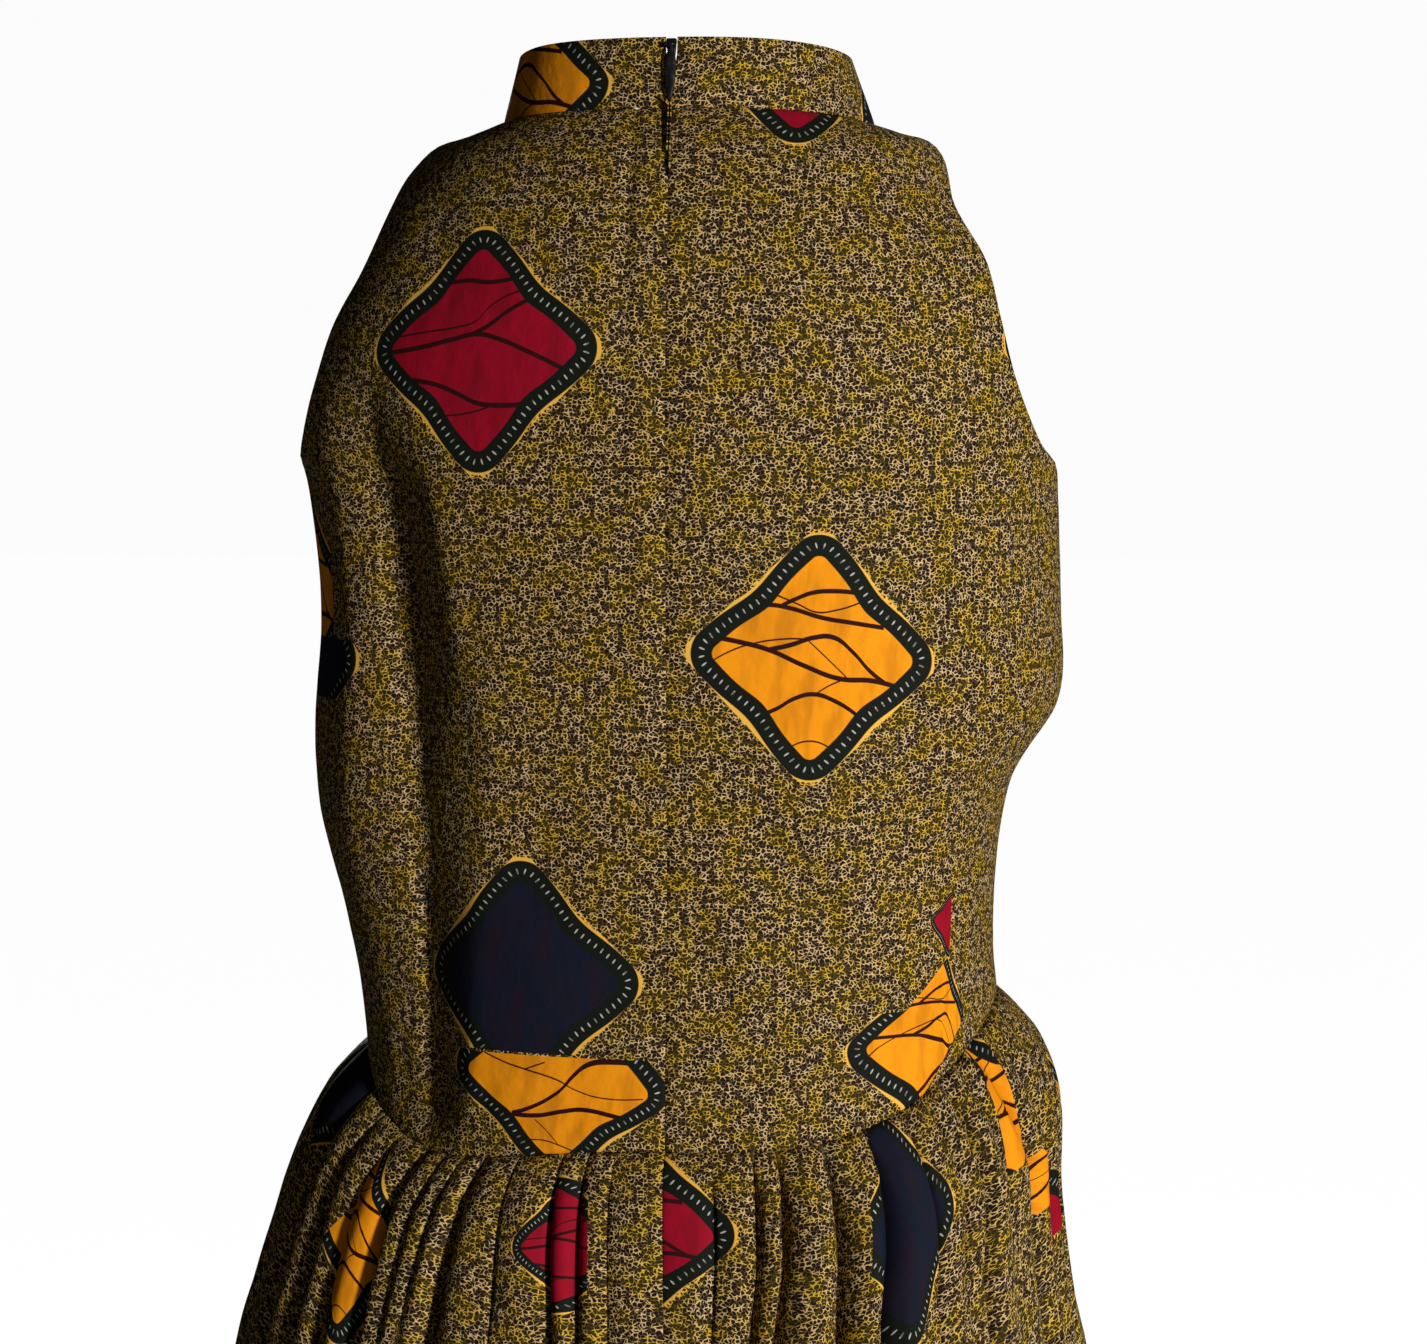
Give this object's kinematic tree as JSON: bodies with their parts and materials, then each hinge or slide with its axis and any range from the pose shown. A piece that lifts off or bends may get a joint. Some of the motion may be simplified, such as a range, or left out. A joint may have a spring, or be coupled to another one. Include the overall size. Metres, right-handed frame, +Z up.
{
  "type": "sleeveless dress",
  "caption": "Sleeveless wax print dress with a stand collar, cut-in armholes, a centre back zip and a gathered skirt, filled out as when it is worn.",
  "frame": {"origin": "middle of the neck opening, level with the collar seam at the centre back", "axes": "+Z up, -Y out of the back, where the zip is, +X the wearer's right"},
  "size_m": [0.546, 0.436, 1.0203],
  "materials": {
    "print_cotton": "printed wax cotton, matt",
    "tape_cloth": "black woven tape",
    "black_metal": "black painted zip metal"
  },
  "bodies": {
    "dress": {"collar": "print_cotton", "bodice_front": "print_cotton", "bodice_back_left": "print_cotton", "bodice_back_right": "print_cotton", "skirt_front": "print_cotton", "skirt_back_left": "print_cotton", "skirt_back_right": "print_cotton", "zip_tape": "tape_cloth", "zip_slider": "black_metal"},
    "zip_pull": {"zip_pull": "black_metal"}
  },
  "joints": [
    {"name": "pull_hinge", "type": "hinge", "parent": "dress", "child": "zip_pull", "pos_m": [0, -0.06353, 0.02527], "axis": [-1, 0, 0], "range_deg": [0, 150]}
  ]
}
